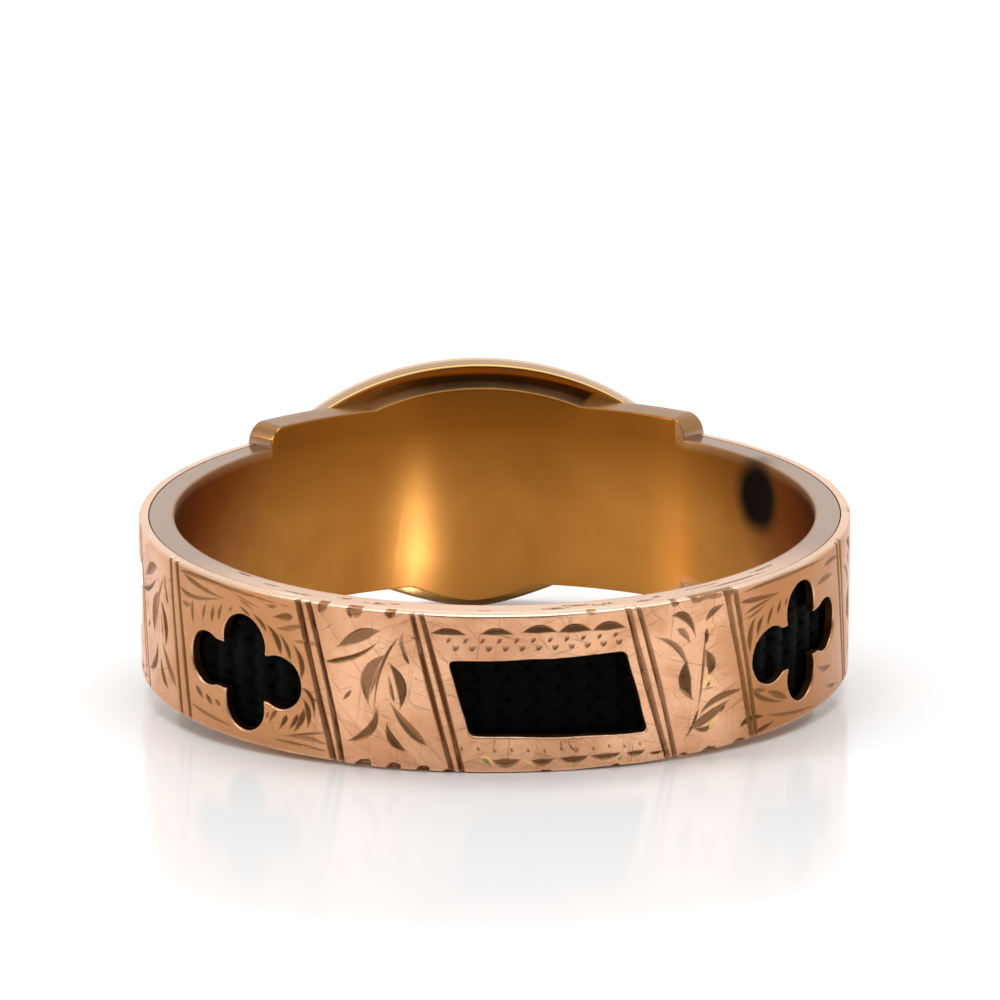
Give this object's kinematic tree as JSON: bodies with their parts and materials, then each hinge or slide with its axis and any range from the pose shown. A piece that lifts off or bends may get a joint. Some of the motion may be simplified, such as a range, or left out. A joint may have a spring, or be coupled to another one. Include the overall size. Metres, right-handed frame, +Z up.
{
  "type": "hair mourning ring",
  "caption": "Gold mourning ring whose engraved band is pierced with slanted oblong and quatrefoil windows over dark hair, with a plain raised shield as its head, lying on its side.",
  "frame": {"origin": "on the surface that the ring lies on, at the middle of its bounding box", "axes": "+Z up; +Y from the plain engraved back of the band towards the shield; +X to the right as the back of the band is looked at"},
  "size_m": [0.0208, 0.022, 0.0078],
  "materials": {
    "rose_gold": "worn polished rose gold, browner on the inside",
    "engraved_rose_gold": "worn satin rose gold with darkened engraving",
    "dark_hair": "black-brown plaited hair"
  },
  "bodies": {
    "root": {"ring_body": "rose_gold", "pierced_shell": "engraved_rose_gold", "hair_plait": "dark_hair"}
  },
  "joints": []
}
